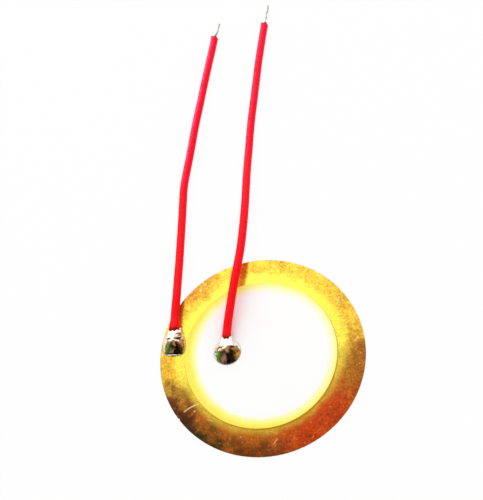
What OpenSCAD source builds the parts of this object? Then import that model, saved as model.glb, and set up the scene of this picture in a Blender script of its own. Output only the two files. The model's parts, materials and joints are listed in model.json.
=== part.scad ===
// Piezo disc: a thin brass diaphragm with a silvered ceramic disc bonded to it, and two
// stranded leads soldered on, one to the brass margin and one to the silver. It lies on its
// brass face. Millimetres, +Z up. The origin is the middle of the brass plate's underside.

/* [Brass plate] */
// Diameter of the brass plate
plate_d = 27; // [25:0.5:35]
// Thickness of the brass plate
plate_t = 0.3; // [0.2:0.05:0.6]
// Radius that stamping rolls onto the upper edge
edge_roll_r = 0.06; // [0.02:0.01:0.12]
// Width of the broken lower edge
edge_break = 0.03; // [0.01:0.01:0.06]
// Radius of the small nick in the rim
nick_r = 0.2; // [0.1:0.05:0.4]
// Depth of the nick
nick_depth = 0.12; // [0.05:0.01:0.18]
// Direction of the nick, in degrees from +X
nick_angle = 218; // [195:1:340]

/* [Ceramic disc] */
// Diameter of the ceramic disc
ceramic_d = 20; // [14:0.5:22]
// Thickness of the ceramic disc
ceramic_t = 0.2; // [0.1:0.05:0.6]
// Distance that the ceramic sits off centre, along X
ceramic_off_x = -0.1; // [-0.3:0.05:0.3]
// Thickness of the epoxy under the ceramic
bond_t = 0.02; // [0.01:0.005:0.05]
// Width of the epoxy squeezed out round the ceramic's foot
squeeze_out = 0.12; // [0.06:0.01:0.14]
// Thickness of the squeezed-out epoxy at its thin edges
squeeze_edge = 0.02; // [0.01:0.005:0.03]

/* [Silver electrodes] */
// Bare ceramic left round the upper silver
silver_margin = 1.1; // [0.6:0.05:2.5]
// Thickness of each silver layer
silver_t = 0.015; // [0.01:0.005:0.03]
// Distance that the upper silver is printed off centre, along X
silver_off_x = 0.25; // [-0.3:0.05:0.3]

/* [Solder joints] */
// Direction of the joint on the brass, in degrees from +X
rim_joint_angle = 170; // [150:1:190]
// Bare brass left on each side of the joint on the brass
rim_joint_land = 0.06; // [0.02:0.01:0.3]
// Extra length of the joint on the brass, along its lead
rim_joint_stretch = 0.6; // [0.2:0.1:1.2]
// Direction of the joint on the silver, in degrees from +X
centre_joint_angle = 175; // [150:0.5:200]
// Distance from the silver's edge to the middle of its joint
centre_joint_inset = 4.2; // [2.5:0.1:6]
// Diameter of the joint on the silver
centre_joint_d = 3.8; // [2.8:0.1:4.4]
// Solder over the conductor at the top of each joint
solder_cover = 0.15; // [0.15:0.05:0.8]
// Radius of the wetted toe round each joint
toe_r = 0.15; // [0.05:0.01:0.3]
// Thickness of the toe at its thin edge
toe_edge = 0.02; // [0.01:0.005:0.04]
// Solder round the conductor in the neck of each joint
neck_wall = 0.28; // [0.1:0.02:0.28]
// Length of conductor past the middle of its joint
strand_past = 0.5; // [0.2:0.05:0.7]

/* [Leads] */
// Outer diameter of the insulation
lead_d = 1.15; // [0.7:0.05:1.4]
// Clearance under a lead where it enters its joint
lead_gap = 0.1; // [0.1:0.05:0.8]
// Diameter of one strand
strand_d = 0.08; // [0.05:0.01:0.1]
// Room that each strand has in the bundle and in its bore
strand_clear = 0.005; // [0.003:0.001:0.01]
// Length in which the strands turn once round the bundle
strand_lay = 16; // [12:1:40]

/* [Hidden] */
$fn = 64;

STRANDS = 7;            // one in the middle and six round it

TUBE_SIDES = 8;
STRAND_SIDES = 6;
STRAND_STEP = 2;        // longest ring spacing along a strand

plate_r = plate_d / 2;
ceramic_r = ceramic_d / 2;
silver_r = ceramic_r - silver_margin;

// Heights of the faces, from the floor up
bond_z = plate_t;
lower_silver_z = bond_z + bond_t;
ceramic_z = lower_silver_z + silver_t;
upper_silver_z = ceramic_z + ceramic_t;
top_z = upper_silver_z + silver_t;

ceramic_off = [ceramic_off_x, 0];
silver_off = [silver_off_x, 0];

// The bundle is a close-packed hexagon: each strand has its clearance round it
strand_r = strand_d / 2;
strand_pitch = strand_d + 2 * strand_clear;
bundle_r = strand_pitch + strand_r;
bore_r = bundle_r + strand_clear;
lead_r = lead_d / 2;

// Height of a lead's middle over the face that its joint stands on, and of the joint itself
entry_h = lead_r + lead_gap;
joint_h = entry_h + bundle_r + solder_cover;
neck_r = bundle_r + neck_wall;
neck_taper = 0.9;       // the neck's radius at the insulation, as a share of its root's

// The joint on the brass fills the margin between the plate's edge and the squeezed-out epoxy
function polar(r, a) = [r * cos(a), r * sin(a)];
rim_margin_inner = ceramic_r + squeeze_out + abs(ceramic_off_x);
rim_margin_outer = plate_r - edge_roll_r;
rim_joint_d = rim_margin_outer - rim_margin_inner - 2 * rim_joint_land;
rim_joint = polar((rim_margin_outer + rim_margin_inner) / 2, rim_joint_angle);
centre_joint = silver_off + polar(silver_r - centre_joint_inset, centre_joint_angle);

// Routes of the insulation's middle line, from its joint to the stripped end. Each point is
// [x, y, lift]: x and y from the middle of the joint, and lift from 0 where the lead lies on
// the floor to 1 at the height at which it enters the joint.
RIM_POINTS = [
    [0.1, 1.9, 1], [0.12, 4.2, 1.45], [0.25, 6.5, 1.75], [0.3, 9, 1.6], [0.35, 11.5, 1.27],
    [0.35, 14, 0.87], [0.35, 16.5, 0.46], [0.35, 19, 0.14], [0.35, 21.5, 0], [0.4, 24, 0],
    [0.7, 26.5, 0], [1, 28.7, 0], [1.3, 31, 0], [1.6, 33.5, 0], [1.95, 36, 0],
    [2.35, 38.5, 0], [2.75, 41.2, 0], [3.15, 43.8, 0], [3.55, 46.3, 0], [3.95, 48.7, 0],
    [4.3, 51.05, 0]
];
CENTRE_POINTS = [
    [0, 1.9, 1], [0.15, 3.4, 1.25], [0.45, 5.2, 1.75], [0.8, 7.4, 2.18], [1.2, 9.9, 2.38],
    [1.6, 12.2, 2.38], [1.9, 14.4, 2.24], [2.1, 16.6, 2.03], [2.25, 19, 1.75],
    [2.35, 21.5, 1.34], [2.4, 24, 0.92], [2.45, 26.5, 0.51], [2.55, 29, 0.16],
    [2.7, 31.5, 0], [2.85, 34, 0], [3.05, 36.5, 0], [3.3, 39, 0], [3.55, 41.5, 0],
    [3.8, 44, 0], [4.05, 46.5, 0], [4.35, 49, 0], [4.7, 51.7, 0], [5.05, 54.25, 0]
];
// The bare conductor goes on from the last point of its route
RIM_TIP = [[4.7, 52, 0], [4.85, 52.8, 0], [5, 53.7, 0]];
CENTRE_TIP = [[5.3, 55.6, 0], [5.35, 56.3, 0], [5.55, 57, 0], [5.6, 57.9, 0]];

function unit(v) = v / norm(v);

// A lead's points in the part's own frame
function route(points, joint, face_z) = [
    for (p = points)
        [joint.x + p.x, joint.y + p.y, lead_r + p.z * (face_z + entry_h - lead_r)]
];

rim_route = route(RIM_POINTS, rim_joint, plate_t);
centre_route = route(CENTRE_POINTS, centre_joint, top_z);

// Length of conductor between the insulation's face and its end inside the joint
function buried_length(points) = norm([points[0].x, points[0].y]) + strand_past;

function inner_end(path, length) = path[0] - unit(path[1] - path[0]) * length;

// Splits each stretch of a path so that no ring lies further than step from the next
function refined(path, step) = concat(
    [
        for (i = [0:len(path) - 2])
            let (a = path[i], b = path[i + 1], n = ceil(norm(b - a) / step))
                for (k = [0:n - 1]) a + (b - a) * k / n
    ],
    [path[len(path) - 1]]
);

rim_conductor = refined(
    concat([inner_end(rim_route, buried_length(RIM_POINTS))], rim_route,
        route(RIM_TIP, rim_joint, plate_t)),
    STRAND_STEP
);
centre_conductor = refined(
    concat([inner_end(centre_route, buried_length(CENTRE_POINTS))], centre_route,
        route(CENTRE_TIP, centre_joint, top_z)),
    STRAND_STEP
);

// Direction of a path at a point: halfway between the stretches that meet there
function heading(path, i) =
    i == 0 ? unit(path[1] - path[0])
    : i == len(path) - 1 ? unit(path[i] - path[i - 1])
    : unit(unit(path[i] - path[i - 1]) + unit(path[i + 1] - path[i]));

// Distance along a path to each of its points
function distances(path) = [
    for (
        i = 0, s = 0;
        i < len(path);
        i = i + 1, s = i < len(path) ? s + norm(path[i] - path[i - 1]) : s
    ) s
];

// A ring square to the path: sides points of radius r round centre, an offset in the ring's plane
function ring(path, i, r, sides, turn, centre) =
    let (
        ahead = heading(path, i),
        side = unit(cross(ahead, [0, 0, 1])),
        up = cross(side, ahead)
    )
    [
        for (k = [0:sides - 1])
            let (a = turn + k * 360 / sides)
                path[i] + side * (centre.x + r * cos(a)) + up * (centre.y + r * sin(a))
    ];

// The two triangles between corners k and k + 1 of two rings that start at points a and b
function quad(a, b, k, sides) =
    let (next = (k + 1) % sides)
    [[a + k, b + next, b + k], [a + k, a + next, b + next]];

function quad_inward(a, b, k, sides) = [for (t = quad(a, b, k, sides)) [t[2], t[1], t[0]]];

// The outline of a stamped plate's edge: rolled over at the top, broken at the bottom
module plate_profile() {
    difference() {
        square([plate_r, plate_t]);
        translate([plate_r - edge_roll_r, plate_t - edge_roll_r]) difference() {
            square(2 * edge_roll_r);
            circle(edge_roll_r);
        }
        polygon([[plate_r - edge_break, 0], [plate_r, 0], [plate_r, edge_break]]);
    }
}

module brass_plate() {
    color("goldenrod") difference() {
        rotate_extrude() plate_profile();
        translate(concat(polar(plate_r + nick_r - nick_depth, nick_angle), -plate_t))
            cylinder(h = 3 * plate_t, r = nick_r);
    }
}

// The epoxy under the ceramic, with the concave bead that pressing squeezes out at its foot
module bond_layer() {
    color("khaki") translate([ceramic_off.x, ceramic_off.y, bond_z]) rotate_extrude()
        difference() {
            square([ceramic_r + squeeze_out, squeeze_out]);
            translate([0, bond_t]) square([ceramic_r, squeeze_out]);
            translate([ceramic_r + squeeze_out, squeeze_out])
                circle(squeeze_out - squeeze_edge);
        }
}

module layer(middle, z, r, t) {
    translate([middle.x, middle.y, z]) cylinder(h = t, r = r);
}

module lower_electrode() {
    color("lightgray") layer(ceramic_off, lower_silver_z, ceramic_r, silver_t);
}

module ceramic_disc() {
    color("lightyellow") layer(ceramic_off, ceramic_z, ceramic_r, ceramic_t);
}

module upper_electrode() {
    color("whitesmoke") layer(silver_off, upper_silver_z, silver_r, silver_t);
}

// Half of a joint's outline: a ball's cap that runs into a thin wetted toe. The cap's radius
// follows from the foot, the height and the toe, because cap and toe are tangent.
module joint_profile(foot_r) {
    toe_mid = toe_r + toe_edge;
    cap_r = (foot_r ^ 2 - toe_r ^ 2 + (toe_mid - joint_h) ^ 2) / (2 * (joint_h - toe_edge));
    cap_z = joint_h - cap_r;
    touch = [0, cap_z] + unit([foot_r, toe_mid - cap_z]) * cap_r;
    intersection() {
        translate([0, cap_z]) circle(cap_r);
        translate([0, touch.y]) square([cap_r, joint_h]);
    }
    difference() {
        polygon([[0, 0], [foot_r, 0], [foot_r, toe_mid], touch, [0, touch.y]]);
        translate([foot_r, toe_mid]) circle(toe_r);
    }
}

// A joint's bead, stretched along Y
module bead(foot_r, stretch) {
    for (end = [0, 1])
        translate([0, (end - 0.5) * stretch]) rotate(180 * (1 - end))
            rotate_extrude(angle = 180) joint_profile(foot_r);
    if (stretch > 0)
        for (side = [0, 1])
            mirror([side, 0, 0]) rotate([90, 0, 0])
                linear_extrude(stretch, center = true) joint_profile(foot_r);
}

// Stands its children's +Z along a direction, at a place
module along(place, direction) {
    translate(place)
        rotate([0, acos(direction.z), atan2(direction.y, direction.x)]) children();
}

// A bead with a neck that reaches the insulation, bored for the conductor
module solder_joint(joint, face_z, foot_r, stretch, path, buried) {
    ahead = unit(path[1] - path[0]);
    neck_l = buried - strand_past;
    color("silver") difference() {
        union() {
            translate([joint.x, joint.y, face_z])
                rotate(atan2(ahead.y, ahead.x) - 90) bead(foot_r, stretch);
            along(path[0], -ahead)
                cylinder(h = neck_l, r1 = neck_r * neck_taper, r2 = neck_r);
        }
        along(inner_end(path, buried + strand_clear), ahead)
            cylinder(h = buried + lead_r, r = bore_r);
    }
}

module rim_solder() {
    solder_joint(rim_joint, plate_t, rim_joint_d / 2, rim_joint_stretch, rim_route,
        buried_length(RIM_POINTS));
}

module centre_solder() {
    solder_joint(centre_joint, top_z, centre_joint_d / 2, 0, centre_route,
        buried_length(CENTRE_POINTS));
}

// A hollow tube swept along a path; its bore's flats clear the bundle
module insulation(path) {
    n = TUBE_SIDES;
    last = len(path) - 1;
    inner_r = bore_r / cos(180 / n);
    points = [
        for (i = [0:last])
            for (r = [lead_r, inner_r])
                for (p = ring(path, i, r, n, 0, [0, 0])) p
    ];
    walls = [
        for (i = [0:last - 1], k = [0:n - 1])
            let (a = 2 * n * i, b = a + 2 * n)
                for (t = concat(quad(a, b, k, n), quad_inward(a + n, b + n, k, n))) t
    ];
    ends = [
        for (k = [0:n - 1])
            let (z = 2 * n * last)
                for (t = concat(quad(n, 0, k, n), quad(z, z + n, k, n))) t
    ];
    color("red") polyhedron(points, concat(walls, ends));
}

// One strand of a bundle: the first is the straight one in the middle
module strand(path, number) {
    n = STRAND_SIDES;
    last = len(path) - 1;
    reach = number == 1 ? 0 : strand_pitch;
    far = distances(path);
    points = [
        for (i = [0:last])
            let (turn = 360 * far[i] / strand_lay)
                for (p = ring(path, i, strand_r, n, turn + 180 / n,
                    polar(reach, turn + number * 360 / (STRANDS - 1)))) p
    ];
    walls = [for (i = [0:last - 1], k = [0:n - 1]) for (t = quad(n * i, n * (i + 1), k, n)) t];
    ends = [[for (k = [0:n - 1]) n - 1 - k], [for (k = [0:n - 1]) n * last + k]];
    color("gainsboro") polyhedron(points, concat(walls, ends));
}

brass_plate();
bond_layer();
lower_electrode();
ceramic_disc();
upper_electrode();
rim_solder();
centre_solder();
insulation(rim_route);  // rim_lead_insulation
insulation(centre_route);  // centre_lead_insulation
for (k = [1:STRANDS]) {
    strand(rim_conductor, k);
    strand(centre_conductor, k);
}
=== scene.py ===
"""Looks of a 27 mm piezo disc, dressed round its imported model.

A stamped brass diaphragm carries a bonded ceramic disc with a fired silver print. Two red
stranded leads are soldered on, one to the brass margin and one to the silver, and run away
along +Y to their stripped ends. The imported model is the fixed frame, in metres: +Z out of the
ceramic side, with the origin at the middle of the brass plate's underside.
"""

from __future__ import annotations

import json
import logging
import math
from abc import ABC, abstractmethod
from collections.abc import Callable, Iterator
from contextlib import contextmanager
from dataclasses import dataclass
from enum import Enum
from functools import partial

import bmesh
import bpy
from mathutils import Matrix, Vector

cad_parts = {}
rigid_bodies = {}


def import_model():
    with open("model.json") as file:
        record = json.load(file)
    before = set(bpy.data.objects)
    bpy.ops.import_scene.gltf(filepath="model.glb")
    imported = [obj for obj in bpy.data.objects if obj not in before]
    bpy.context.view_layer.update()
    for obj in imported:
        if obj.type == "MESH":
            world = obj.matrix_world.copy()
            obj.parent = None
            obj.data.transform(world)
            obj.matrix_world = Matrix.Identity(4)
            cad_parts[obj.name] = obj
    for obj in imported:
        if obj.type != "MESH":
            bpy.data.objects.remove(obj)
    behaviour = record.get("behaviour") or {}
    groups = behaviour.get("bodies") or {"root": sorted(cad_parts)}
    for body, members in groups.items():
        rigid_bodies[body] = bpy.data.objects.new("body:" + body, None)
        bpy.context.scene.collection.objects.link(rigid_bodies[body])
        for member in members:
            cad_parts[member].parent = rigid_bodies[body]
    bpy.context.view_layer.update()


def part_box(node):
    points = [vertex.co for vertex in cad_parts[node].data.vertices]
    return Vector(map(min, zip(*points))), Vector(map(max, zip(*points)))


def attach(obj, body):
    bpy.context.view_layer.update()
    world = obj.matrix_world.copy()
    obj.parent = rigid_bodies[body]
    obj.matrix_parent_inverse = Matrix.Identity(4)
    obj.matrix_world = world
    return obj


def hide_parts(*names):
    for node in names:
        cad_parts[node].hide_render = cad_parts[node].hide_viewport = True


Tree = bpy.types.NodeTree
Node = bpy.types.Node
Socket = bpy.types.NodeSocket
Adder = Callable[..., bpy.types.Node]  # add_node for one tree
Material = bpy.types.Material
Thing = bpy.types.Object
Pair = tuple[float, float]
Triple = tuple[float, float, float]
Stops = tuple[tuple[float, str], ...]

LOG = logging.getLogger("piezo_disc")
MM = 0.001
BODY = "root"
STRANDS = 7
CUT_THRESHOLD = 1e-7  # a cut's default takes vertices 0.1 mm away to be on it
DARK, LIGHT = 0.35, 0.65  # most of a noise lies between these two values
FLAT = (1, 1, 0)  # leaves a vector's height out
ORIGIN = (0, 0, 0)
UP = (0, 0, 1)

# Settings that many nodes share. By number, a MapRange's inputs 1 and 2 are the limits it reads
# between, and 3 and 4 what it gives there; a Mix's 0 is its share, and 6 and 7 its two colours.
RGBA = {"data_type": "RGBA"}
SMOOTH = {"interpolation_type": "SMOOTHSTEP"}
DISTANCE = {"operation": "DISTANCE"}
DOT = {"operation": "DOT_PRODUCT"}
MAXIMUM = {"operation": "MAXIMUM"}
MULTIPLY = {"operation": "MULTIPLY"}
MULTIPLY_ADD = {"operation": "MULTIPLY_ADD"}
SCALE = {"operation": "SCALE"}
SUBTRACT = {"operation": "SUBTRACT"}


class Slot(str, Enum):
    """Names of the record's material slots for the modelled pieces. Nothing in the script uses
    them.
    """

    SOLDER = "solder"
    PVC = "red_pvc"
    COPPER = "tinned_copper"


# ---------------------------------------------------------------- colours and node graphs


def linear(colour: str) -> tuple[float, float, float, float]:
    """Turns an sRGB hex colour to linear light.

    Args:
        colour: The colour as "#rrggbb".

    Returns:
        Red, green, blue and an alpha of 1.
    """
    channels = [int(colour[i : i + 2], 16) / 255 for i in (1, 3, 5)]
    red, green, blue = (
        c / 12.92 if c <= 0.04045 else ((c + 0.055) / 1.055) ** 2.4 for c in channels
    )
    return red, green, blue, 1.0


def add_node(
    tree: Tree,
    kind: str,
    settings: dict[str, object] | None = None,
    inputs: dict[str | int, object] | None = None,
    stops: Stops = (),
) -> Node:
    """Adds one node with its settings and links.

    Args:
        tree: The node tree that takes the node.
        kind: The node's type, without the leading "ShaderNode".
        settings: The node's own properties.
        inputs: For its inputs, by name or number: a value, a hex colour, an output socket, or
            a node, which stands for its first output in use.
        stops: A colour ramp's places and hex colours.

    Returns:
        The new node.
    """
    node = tree.nodes.new("ShaderNode" + kind)
    for name, value in (settings or {}).items():
        setattr(node, name, value)
    for key, value in (inputs or {}).items():
        if isinstance(value, Node):
            value = next(output for output in value.outputs if output.enabled)
        if isinstance(value, Socket):
            tree.links.new(value, node.inputs[key])
        else:
            node.inputs[key].default_value = linear(value) if isinstance(value, str) else value
    if stops:
        elements = node.color_ramp.elements
        while len(elements) < len(stops):
            elements.new(1.0)
        for element, (place, colour) in zip(elements, stops):
            element.position = place
            element.color = linear(colour)
    return node


def place_mm(add: Adder, middle: Pair = (0.0, 0.0)) -> Node:
    """Gives the place on a piece in millimetres.

    Args:
        add: Adds a node to the material.
        middle: The x and y that become zero, in millimetres.

    Returns:
        The node that puts the place out.
    """
    coordinates = add("TexCoord")
    moved = {"Location": (-middle[0], -middle[1], 0), "Scale": (1 / MM,) * 3}
    return add("Mapping", inputs={"Vector": coordinates.outputs["Object"], **moved})


def radius_mm(add: Adder, place: Node) -> Node:
    """Gives the distance of a place from the vertical through zero, in millimetres."""
    flat = add("VectorMath", MULTIPLY, {0: place, 1: FLAT})
    return add("VectorMath", {"operation": "LENGTH"}, {0: flat})


def ragged(
    add: Adder,
    measure: Node | Socket,
    pattern: Node,
    span: Pair,
    wobble: float,
    shares: tuple[float | Node, float] = (0.0, 1.0),
    smooth: bool = True,
) -> Node:
    """Runs from one share to another over a span whose place a pattern moves to and fro.

    Args:
        add: Adds a node to the material.
        measure: What the span is counted in, mostly a distance in millimetres.
        pattern: The noise that moves it.
        span: The measures at which the run begins and ends.
        wobble: How far it moves to either side.
        shares: What it runs from and to.
        smooth: Whether it eases in and out.

    Returns:
        The node that puts the share out.
    """
    moved = add("Math", MULTIPLY_ADD, {0: pattern, 1: 2 * wobble, 2: measure})
    places = {1: span[0] + wobble, 2: span[1] + wobble, 3: shares[0], 4: shares[1]}
    return add("MapRange", SMOOTH if smooth else None, {"Value": moved, **places})


@dataclass(frozen=True)
class Finish(ABC):
    """One surface finish: a procedural material.

    Attributes:
        name: The material's name.
    """

    name: str

    def material(self) -> Material:
        """Builds the material, with its surface linked.

        Returns:
            The material.
        """
        made = bpy.data.materials.new(self.name)
        made.use_nodes = True
        made.node_tree.nodes.clear()
        add = partial(add_node, made.node_tree)
        add("OutputMaterial", inputs={"Surface": self.surface(add)})
        return made

    @abstractmethod
    def surface(self, add: Adder) -> Node:
        """Adds the finish's nodes.

        Args:
            add: Adds a node to the material.

        Returns:
            The shader.
        """


@dataclass(frozen=True)
class Mark:
    """A pale scratch or spot on the brass.

    Attributes:
        start: Where it begins, x and y in millimetres.
        end: Where it ends.
        width: Half its width, in millimetres.
        strength: How strongly it shows, from 0 to 1.
    """

    start: Pair
    end: Pair
    width: float
    strength: float

    def mask(self, add: Adder, place: Node) -> Node:
        """Gives the mark's strength at a place.

        Args:
            add: Adds a node to the material.
            place: The place, in millimetres.

        Returns:
            The node that puts the strength out.
        """
        run = (self.end[0] - self.start[0], self.end[1] - self.start[1], 0.0)
        flat = add("VectorMath", MULTIPLY, {0: place, 1: FLAT})
        off = add("VectorMath", SUBTRACT, {0: flat, 1: (*self.start, 0.0)})
        dot = add("VectorMath", DOT, {0: off, 1: run})
        clamped = {"operation": "DIVIDE", "use_clamp": True}
        along = add("Math", clamped, {0: dot, 1: sum(c * c for c in run)})
        foot = add("VectorMath", SCALE, {0: run, "Scale": along})
        apart = add("VectorMath", DISTANCE, {0: off, 1: foot})
        fading = {1: 0.0, 2: self.width, 3: self.strength, 4: 0.0}
        return add("MapRange", SMOOTH, {"Value": apart, **fading})


# A curved handling scratch in three chords, the spots beside it, and marks round the rim
BRASS_MARKS = (
    Mark((-9.95, -7.35), (-9.3, -6.9), 0.13, 0.9),
    Mark((-9.3, -6.9), (-8.6, -6.55), 0.15, 0.9),
    Mark((-8.6, -6.55), (-7.9, -6.35), 0.13, 0.8),
    Mark((-8.65, -7.4), (-8.55, -7.3), 0.16, 0.7),
    Mark((-6.9, -8.5), (-6.2, -8.8), 0.1, 0.55),
    Mark((1.6, -11.95), (2.05, -11.3), 0.11, 0.8),
    Mark((12.2, 1.0), (12.6, 1.6), 0.12, 0.7),
    Mark((-8.4, 9.5), (-8.3, 9.65), 0.18, 0.8),
    Mark((-7.7, 10.3), (-7.65, 10.5), 0.16, 0.7),
    Mark((10.05, 6.3), (10.5, 7.3), 0.16, 0.5),
)


@dataclass(frozen=True)
class TarnishAndShade:
    """A patch of tarnish and painted shade on the brass.

    Attributes:
        middle: Its middle, x and y in millimetres.
        reach: How far it reaches from there, in millimetres.
        fade: Over how much of that it fades out, in millimetres.
        colour: The patch's colour.
    """

    middle: Pair
    reach: float
    fade: float
    colour: str


# Tarnish that also paints shade: the brass is browner and darker towards -Y
BRASS_TARNISH_AND_SHADE = (
    TarnishAndShade((1.6, -16.2), 18.4, 5.0, "#d48028"),  # orange brown over the -Y half, tarnish and painted shade
    TarnishAndShade((-9.8, 10.8), 5.2, 3.6, "#d8962c"),  # amber
    TarnishAndShade((15.2, -3.4), 7.4, 4.0, "#b87422"),
    TarnishAndShade((8.6, -11.0), 8.8, 5.5, "#dc561e"),  # copper red
    TarnishAndShade((-1.0, -16.8), 7.0, 4.0, "#844622"),  # dark brown along the -Y rim
    TarnishAndShade((-14.4, -9.8), 7.7, 3.2, "#683816"),
    TarnishAndShade((-8.4, -14.5), 6.8, 3.8, "#2c3818"),  # olive
)


@dataclass(frozen=True)
class RolledBrass(Finish):
    """Rolled brass sheet, stamped and left bare, with tarnish, a painted glow and painted shade.

    Rolling and tumbling leave pits and scuffs, lighter and darker than the sheet, and a satin
    gloss that spreads reflections. Round the ceramic a painted glow makes the metal brighter,
    with weaker scuffs and less tarnish. A few broad patches with blotchy edges lie over the
    rest, partly tarnish and partly painted shade, browner and darker towards -Y, and nicks a
    quarter of a millimetre across show fresh metal in them. The stamped edge is duller where
    the metal tore, and its colour is painted darker as shade on its side.

    Attributes:
        metal: The sheet's colour.
        bright: The painted glow's colour round the ceramic.
        glow_band: Radii between which the painted glow fades out, in millimetres.
        glow_smoothing: How much of the scuffs' colour the painted glow takes off.
        glow_shelter: Radii between which the tarnish and painted shade come to full strength,
            out of the painted glow, in millimetres.
        glow_sheltered: How much of them there is at the ceramic's foot, under the painted glow.
        patches: The tarnish and painted shade, from the lowest layer up.
        blotch_per_mm: Scale of the broad blotches, in cells 2 mm wide.
        scuffs: For each layer of pits and scuffs: its scale per millimetre, in cells about
            0.8 and 0.3 mm wide, and its darkest and lightest share of the colour.
        nick_per_mm: Scale of the nicks.
        fresh: The colour of bare metal in the nicks.
        marks: The scratches and spots.
        scratched: The marks' colour.
        edge: Radii between which the stamped edge begins, in millimetres.
        torn_and_shaded: The stamped edge's colour, painted darker as shade on its side.
        gloss: Roughness where the blotches are dark and where they are light.
        metallic: How much of the surface mirrors like bare metal. The oxide and the finest
            pits scatter the rest.
    """

    metal: str = "#f7c33c"
    bright: str = "#fff253"
    glow_band: Pair = (10.7, 12.1)
    glow_smoothing: float = 0.55
    glow_shelter: Pair = (10.1, 11.3)
    glow_sheltered: float = 0.34
    patches: tuple[TarnishAndShade, ...] = BRASS_TARNISH_AND_SHADE
    blotch_per_mm: float = 0.5
    scuffs: tuple[Triple, ...] = ((1.2, 0.7, 1.12), (3.2, 0.7, 1.38))
    nick_per_mm: float = 2.1
    fresh: str = "#ffe88a"
    marks: tuple[Mark, ...] = BRASS_MARKS
    scratched: str = "#fff0a8"
    edge: Pair = (13.46, 13.51)
    torn_and_shaded: str = "#a87c34"
    gloss: Pair = (0.24, 0.17)
    metallic: float = 0.75

    def surface(self, add: Adder) -> Node:
        """Adds the brass's nodes.

        Args:
            add: Adds a node to the material.

        Returns:
            The shader.
        """
        place = place_mm(add)
        radius = radius_mm(add, place)
        grain = {"Vector": place, "Scale": self.blotch_per_mm, "Detail": 4, "Roughness": 0.55}
        blotch = add("TexNoise", inputs=grain)
        # Painted glow round the ceramic: the metal is painted brighter there
        glow_share = ragged(add, radius, blotch, self.glow_band, wobble=1.2, shares=(1.0, 0.0))
        colour = add("Mix", RGBA, {0: glow_share, 6: self.metal, 7: self.bright})
        # Under the painted glow the tarnish and painted shade are weaker
        shares = (self.glow_sheltered, 1.0)
        strength = ragged(add, radius, blotch, self.glow_shelter, wobble=0.8, shares=shares)
        # Tarnish patches, with painted shade towards -Y
        for patch in self.patches:
            apart = add("VectorMath", DISTANCE, {0: place, 1: (*patch.middle, 0)})
            span = (patch.reach - patch.fade, patch.reach)
            cover = ragged(add, apart, blotch, span, wobble=3.0, shares=(strength, 0.0))
            colour = add("Mix", RGBA, {0: cover, 6: colour, 7: patch.colour})
        rough, scuff = self.scuffed(add, place, blotch, colour)
        # The painted glow also weakens the scuffs
        smoothed = add("Math", MULTIPLY, {0: glow_share, 1: self.glow_smoothing})
        colour = add("Mix", RGBA, {0: smoothed, 6: rough, 7: colour})
        grain = {"Vector": place, "Scale": self.nick_per_mm, "Detail": 2, "Roughness": 0.8}
        nick = add("TexNoise", inputs=grain)
        nicked = add("MapRange", inputs={"Value": nick, 1: LIGHT, 2: 0.73, 4: 0.5})
        # The stamped edge: duller, and painted darker as shade on its side
        edged = add("MapRange", inputs={"Value": radius, 1: self.edge[0], 2: self.edge[1]})
        for share, over in (
            (nicked, self.fresh),
            *((mark.mask(add, place), self.scratched) for mark in self.marks),
            (edged, self.torn_and_shaded),
        ):
            colour = add("Mix", RGBA, {0: share, 6: colour, 7: over})
        limits = {1: DARK, 2: LIGHT, 3: self.gloss[0], 4: self.gloss[1]}
        satin = add("MapRange", inputs={"Value": blotch, **limits})
        dulled = add("Math", MULTIPLY_ADD, {0: edged, 1: 0.3, 2: satin})
        pits = {"Strength": 0.5, "Distance": 0.008 * MM, "Height": scuff}
        return add(
            "BsdfPrincipled",
            inputs={
                "Base Color": colour,
                "Metallic": self.metallic,
                "Roughness": dulled,
                "Normal": add("Bump", inputs=pits),
            },
        )

    def scuffed(self, add: Adder, place: Node, blotch: Node, colour: Node) -> tuple[Node, Node]:
        """Varies a colour by the blotches and the layers of scuffs.

        Args:
            add: Adds a node to the material.
            place: The place, in millimetres.
            blotch: The blotch pattern.
            colour: The colour so far.

        Returns:
            The node that puts the colour out, and the finest scuffs' pattern.
        """
        layers = [(blotch, 0.82, 1.08)]  # with its darkest and lightest share of the colour
        for scale, low, high in self.scuffs:
            grain = {"Vector": place, "Scale": scale, "Detail": 3, "Roughness": 0.7}
            layers.append((add("TexNoise", inputs=grain), low, high))
        for pattern, low, high in layers:
            limits = {1: DARK, 2: LIGHT, 3: low, 4: high}
            share = add("MapRange", inputs={"Value": pattern, **limits})
            colour = add("VectorMath", SCALE, {0: colour, "Scale": share})
        return colour, layers[-1][0]


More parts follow.
